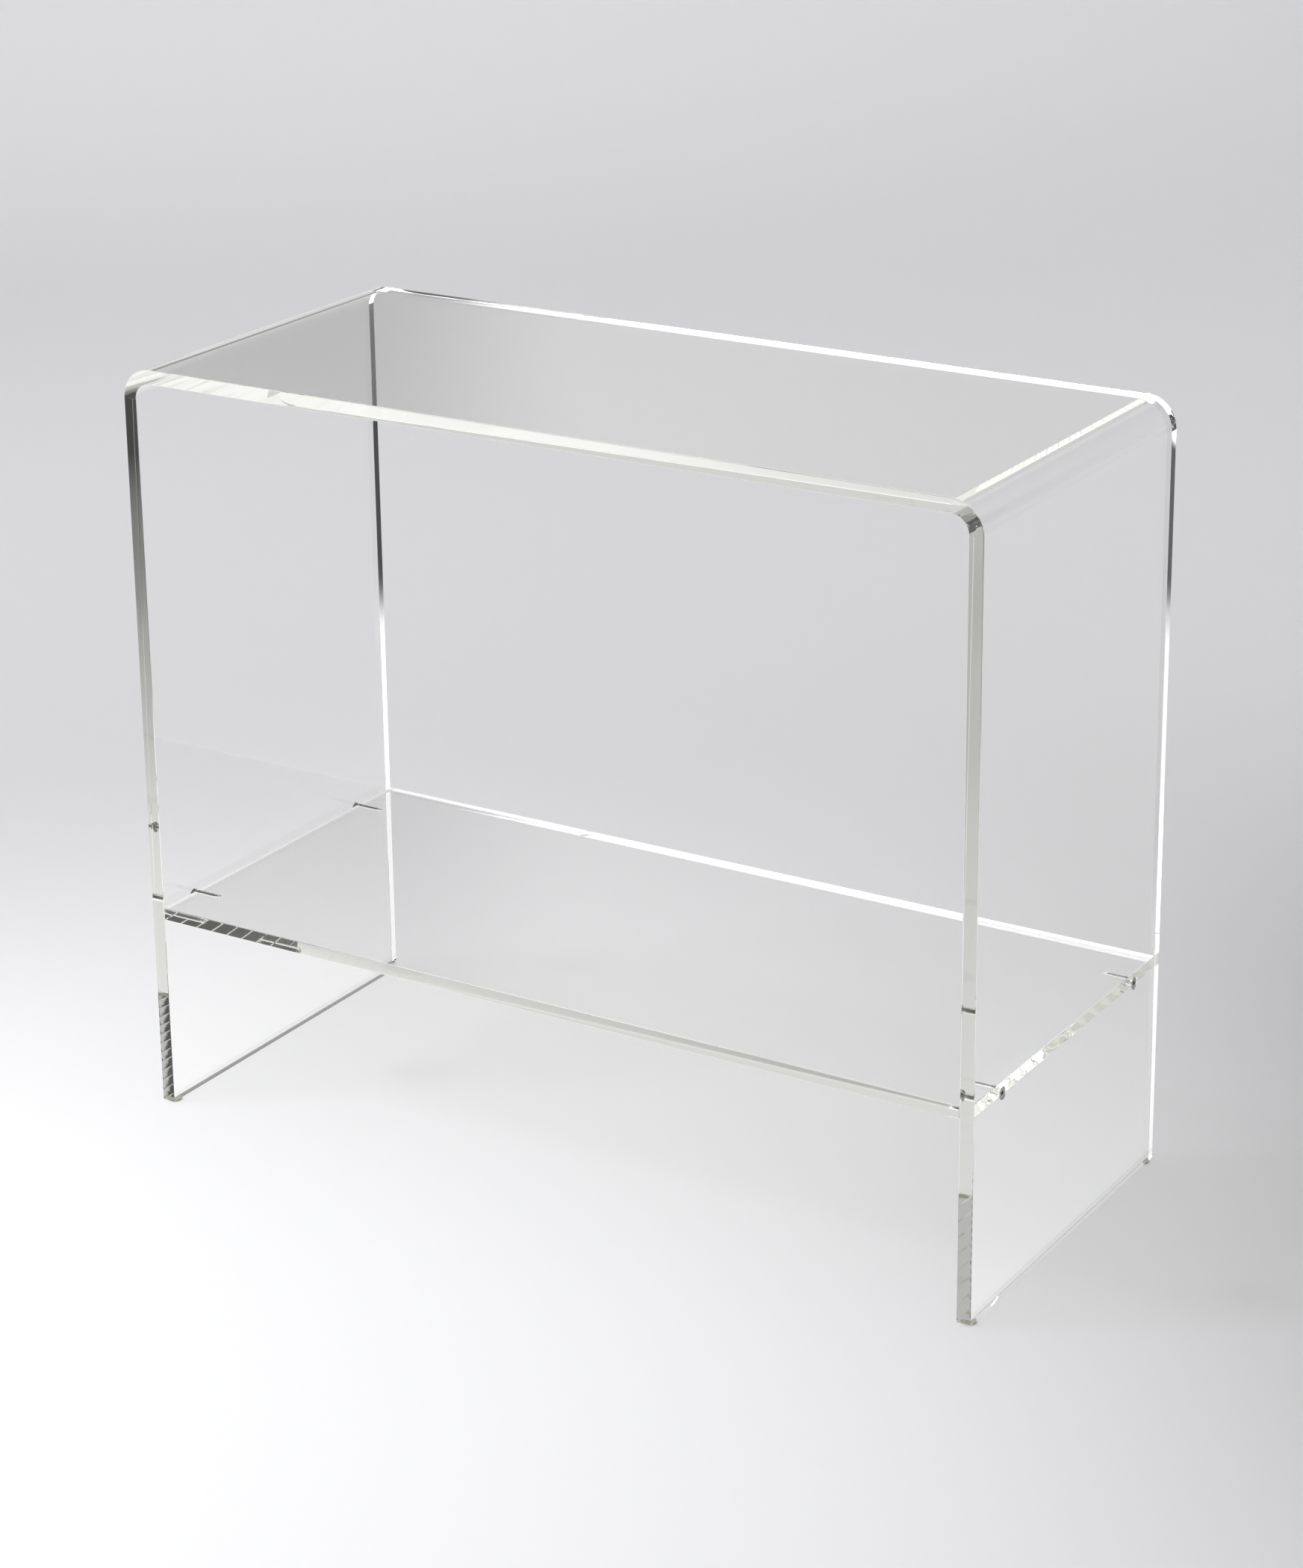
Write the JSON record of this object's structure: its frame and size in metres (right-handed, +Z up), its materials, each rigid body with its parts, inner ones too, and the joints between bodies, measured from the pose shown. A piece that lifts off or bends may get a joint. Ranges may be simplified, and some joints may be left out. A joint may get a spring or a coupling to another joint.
{
  "type": "magazine rack",
  "caption": "Clear acrylic magazine rack: one bent sheet makes the top and both legs, with a flat shelf screwed low between them.",
  "frame": {"origin": "on the floor, under the middle of the rack", "axes": "+X along the long side, towards the right leg seen from the front; +Y from the front edge to the back edge; +Z up"},
  "size_m": [0.61, 0.258, 0.512],
  "materials": {
    "acrylic": "clear cast acrylic with polished faces and edges",
    "screw_steel": "plain bright steel with turned faces",
    "bumper": "clear soft polyurethane, smooth"
  },
  "bodies": {
    "root": {"acrylic_body": "acrylic", "lower_shelf": "acrylic", "screw_front_left": "screw_steel", "screw_front_right": "screw_steel", "screw_rear_left": "screw_steel", "screw_rear_right": "screw_steel", "foot_pad_front_left": "bumper", "foot_pad_front_right": "bumper", "foot_pad_rear_left": "bumper", "foot_pad_rear_right": "bumper"}
  },
  "joints": []
}
